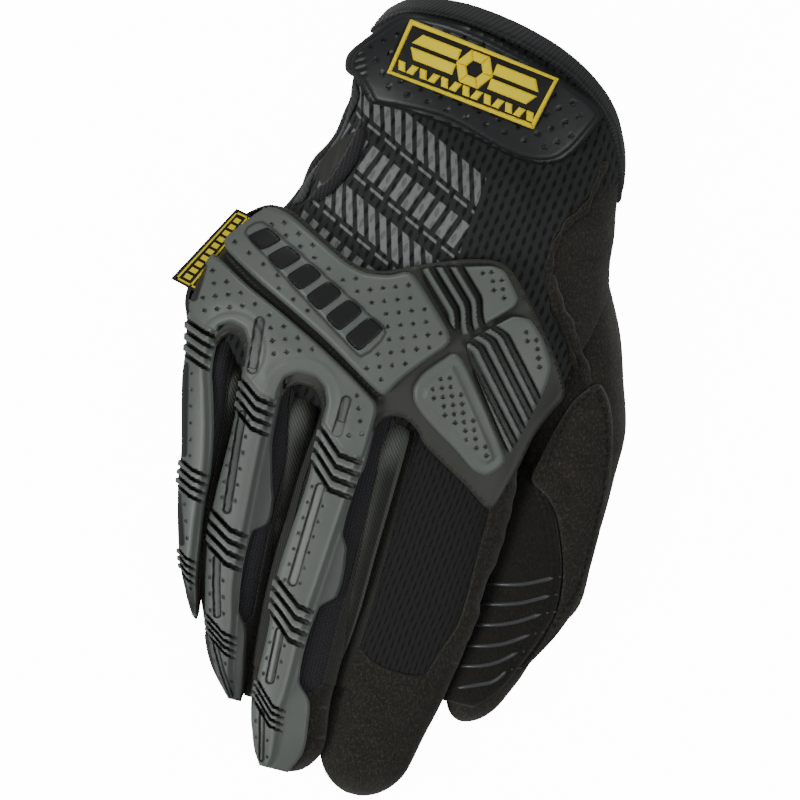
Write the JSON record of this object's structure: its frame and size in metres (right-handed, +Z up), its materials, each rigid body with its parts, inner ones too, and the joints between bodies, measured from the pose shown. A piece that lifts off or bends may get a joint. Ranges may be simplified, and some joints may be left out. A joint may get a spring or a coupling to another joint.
{
  "type": "mechanic glove",
  "caption": "Right-hand work glove lying on its palm: hollow suede and knit shell, open at the cuff, with moulded guards over knuckles and fingers and a wrist strap.",
  "frame": {"origin": "middle of the footprint, on the surface that the glove lies on", "axes": "+Z up through the back of the hand, +Y from the fingertips to the cuff, +X to the thumb side"},
  "size_m": [0.1432, 0.2364, 0.0438],
  "materials": {
    "suede": "napped synthetic suede, matt",
    "knit": "knitted cloth with small slits, matt",
    "twill": "twill weave, matt",
    "binding": "stretch binding, matt",
    "sheet": "thin moulded rubber sheet, matt",
    "rubber": "moulded rubber, satin",
    "strap_rubber": "moulded rubber, satin",
    "plaque": "smooth moulded rubber, satin",
    "yellow": "moulded rubber, satin"
  },
  "bodies": {
    "root": {"cuff_binding": "binding", "fourchette_ring_little": "twill", "fourchette_middle_ring": "twill", "fourchette_index_middle": "twill", "thumb_shell": "suede", "little_back": "knit", "little_front": "suede", "ring_back": "knit", "ring_front": "suede", "middle_back": "knit", "middle_front": "suede", "index_back": "knit", "index_wrap": "suede", "back_of_hand": "knit", "palm": "suede", "guard_base": "sheet", "knuckle_plate_upper": "rubber", "knuckle_plate_lower": "rubber", "index_pad_upper": "rubber", "index_pad_outer": "rubber", "index_pad_lower": "rubber", "name_panel": "strap_rubber", "middle_guard": "rubber", "ring_guard": "rubber", "little_guard": "rubber", "thumb_grip_patch": "suede", "wrist_strap": "strap_rubber", "strap_guard": "strap_rubber", "strap_label": "plaque", "label_border": "yellow", "label_emblem": "yellow", "wrist_gusset": "rubber", "side_tag": "plaque"}
  },
  "joints": []
}
